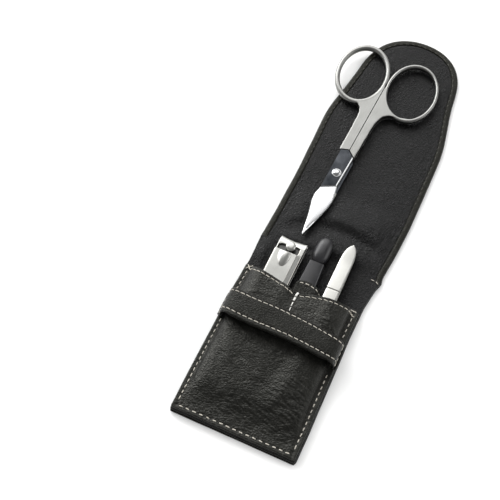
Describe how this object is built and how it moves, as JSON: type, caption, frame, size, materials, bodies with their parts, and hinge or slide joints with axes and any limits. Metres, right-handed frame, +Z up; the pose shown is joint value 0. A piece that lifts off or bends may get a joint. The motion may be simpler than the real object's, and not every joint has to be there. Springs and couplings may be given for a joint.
{
  "type": "manicure set case",
  "caption": "Flat leather manicure case, open: stitched pocket with a retaining strap, a long flap with a rounded tongue, and its clipper, file, tweezers and scissors.",
  "frame": {"origin": "middle of the back panel's outer face, 56 mm from the pocket's bottom edge", "axes": "+X across the case to the right as the open case is seen, +Y from the pocket towards the flap's tongue, +Z up, out of the pocket's front"},
  "size_m": [0.0621, 0.2173, 0.0142],
  "materials": {
    "case_leather": "olive black, pebbled grain, semi-matt",
    "case_lining": "dark grey, fine even grain, matt",
    "stiffener": "thin pressed card, hidden",
    "thread": "cream waxed thread",
    "tack_thread": "thick white thread",
    "satin_steel": "satin, fine brushed",
    "polished_steel": "polished",
    "file_steel": "cross-cut, matt",
    "handle_plastic": "black, glossy"
  },
  "bodies": {
    "case": {"back_outer": "case_leather", "back_board": "stiffener", "back_lining": "case_lining", "throat_lining": "case_lining", "inner_pocket": "case_leather", "front_leather": "case_leather", "front_lining": "case_lining", "strap_leather": "case_leather", "strap_lining": "case_lining", "bar_tack": "tack_thread", "seam_thread": "thread"},
    "spine": {"spine_leather": "case_leather", "spine_lining": "case_lining"},
    "flap": {"flap_leather": "case_leather", "flap_board": "stiffener", "flap_lining": "case_lining"},
    "scissors": {"scissor_lower": "satin_steel", "scissor_rivet": "polished_steel"},
    "scissors_upper": {"scissor_upper": "satin_steel"},
    "clipper": {"clipper_lower_arm": "satin_steel", "clipper_pin": "polished_steel"},
    "clipper_upper": {"clipper_upper_arm": "satin_steel", "clipper_rear_rivet": "polished_steel", "clipper_lever": "satin_steel"},
    "file": {"file_blade": "file_steel", "file_handle": "handle_plastic"},
    "tweezers": {"tweezer_lower_arm": "satin_steel"},
    "tweezers_upper": {"tweezer_upper_arm": "satin_steel"}
  },
  "joints": [
    {"name": "spine_fold", "type": "hinge", "parent": "case", "child": "spine", "pos_m": [0, 0.056, 0.002], "axis": [1, 0, 0], "range_deg": [0, 90], "deforming": ["strap_leather", "strap_lining"]},
    {"name": "flap_fold", "type": "hinge", "parent": "spine", "child": "flap", "pos_m": [0, 0.0675, 0.002], "axis": [1, 0, 0], "range_deg": [0, 93.5], "deforming": ["strap_leather", "strap_lining"]},
    {"name": "scissors_lift", "type": "slide", "parent": "case", "child": "scissors", "axis": [0, 0, 1], "range_m": [0, 0.33]},
    {"name": "scissors_open", "type": "hinge", "parent": "scissors", "child": "scissors_upper", "pos_m": [-0.0104, 0.0774, 0.004], "axis": [0, 0, -1], "range_deg": [0, 35]},
    {"name": "clipper_slide", "type": "slide", "parent": "case", "child": "clipper", "axis": [0, -1, 0], "range_m": [-0.003, 0.003]},
    {"name": "clipper_jaw", "type": "hinge", "parent": "clipper", "child": "clipper_upper", "pos_m": [-0.013, -0.0145, 0.00408], "axis": [-1, 0, 0], "range_deg": [0, 1.6], "stiffness_Nm_per_rad": 0.6},
    {"name": "file_slide", "type": "slide", "parent": "case", "child": "file", "axis": [0.0262, -0.9997, 0], "range_m": [-0.04, 0]},
    {"name": "tweezers_slide", "type": "slide", "parent": "case", "child": "tweezers", "axis": [0.0209, -0.9998, 0], "range_m": [-0.045, 0]},
    {"name": "tweezers_squeeze", "type": "hinge", "parent": "tweezers", "child": "tweezers_upper", "pos_m": [0.0116, 0.036, 0.00522], "axis": [0.9998, 0.0209, 0], "range_deg": [0, 0.9], "stiffness_Nm_per_rad": 0.3}
  ],
  "couplings": [
    {"joint": "flap_fold", "follows": "spine_fold", "ratio": 1.0333},
    {"joint": "scissors_lift", "follows": "spine_fold", "m_per_rad": 0.20667}
  ]
}
